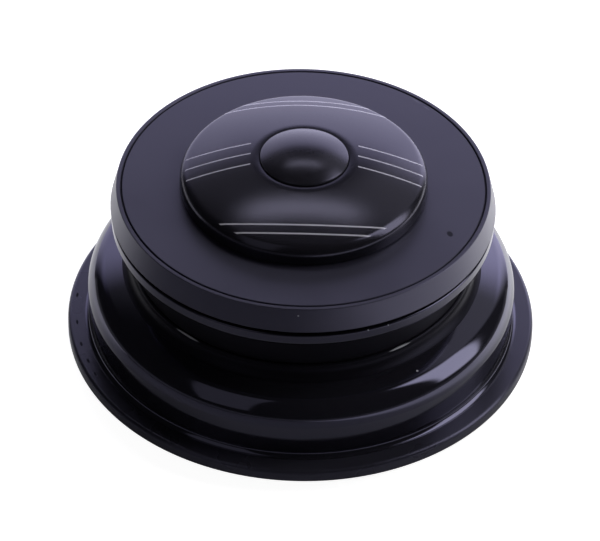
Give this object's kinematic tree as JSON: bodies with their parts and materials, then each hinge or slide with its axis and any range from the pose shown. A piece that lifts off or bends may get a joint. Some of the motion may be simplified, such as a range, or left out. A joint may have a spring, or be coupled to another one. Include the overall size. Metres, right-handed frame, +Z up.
{
  "type": "bicycle headset",
  "caption": "Round black bicycle headset for a tapered fork: flanged lower cup narrowing to a neck, upper cup, flat bearing cover and domed top cap, turning on sealed bearings.",
  "frame": {"origin": "on the steering axis, at the underside of the crown race, where the stack stands", "axes": "+Z up along the steering axis towards the top cap; X and Y are free, since the headset is round"},
  "size_m": [0.0614, 0.0614, 0.0316],
  "materials": {
    "cup_black": "gloss black anodised",
    "cover_black": "satin black anodised",
    "cap_black": "semi-gloss black anodised",
    "plug_rubber": "smooth moulded",
    "ring_alloy": "machined",
    "race_alloy": "black anodised",
    "seal_rubber": "matt moulded",
    "bearing_seal": "matt moulded",
    "bearing_steel": "ground",
    "ball_steel": "polished",
    "cage_nylon": "moulded",
    "bolt_steel": "black oxide",
    "star_steel": "zinc plated"
  },
  "bodies": {
    "cups": {"lower_cup": "cup_black", "upper_cup": "cup_black", "lower_bearing_outer_race": "bearing_steel", "lower_bearing_top_seal": "bearing_seal", "lower_bearing_bottom_seal": "bearing_seal", "upper_bearing_outer_race": "bearing_steel", "upper_bearing_top_seal": "bearing_seal", "upper_bearing_bottom_seal": "bearing_seal"},
    "cover_group": {"bearing_cover": "cover_black", "cover_seal": "seal_rubber", "compression_ring": "ring_alloy", "upper_bearing_inner_race": "bearing_steel", "top_cap": "cap_black", "cap_bolt": "bolt_steel", "bolt_plug": "plug_rubber", "star_nut_barrel": "star_steel", "star_nut_upper_star": "star_steel", "star_nut_lower_star": "star_steel"},
    "upper_ball_set": {"upper_bearing_balls": "ball_steel", "upper_bearing_cage": "cage_nylon"},
    "crown_group": {"crown_race": "race_alloy", "crown_race_seal": "seal_rubber", "lower_bearing_inner_race": "bearing_steel"},
    "lower_ball_set": {"lower_bearing_balls": "ball_steel", "lower_bearing_cage": "cage_nylon"}
  },
  "joints": [
    {"name": "upper_spin", "type": "hinge", "parent": "cups", "child": "cover_group", "pos_m": [0, 0, 0], "axis": [0, 0, 1], "continuous": true},
    {"name": "upper_ball_spin", "type": "hinge", "parent": "cups", "child": "upper_ball_set", "pos_m": [0, 0, 0], "axis": [0, 0, 1], "continuous": true},
    {"name": "lower_spin", "type": "hinge", "parent": "cups", "child": "crown_group", "pos_m": [0, 0, 0], "axis": [0, 0, 1], "continuous": true},
    {"name": "lower_ball_spin", "type": "hinge", "parent": "cups", "child": "lower_ball_set", "pos_m": [0, 0, 0], "axis": [0, 0, 1], "continuous": true}
  ],
  "couplings": [
    {"joint": "upper_ball_spin", "follows": "upper_spin", "ratio": 0.4699},
    {"joint": "lower_ball_spin", "follows": "lower_spin", "ratio": 0.4723}
  ]
}
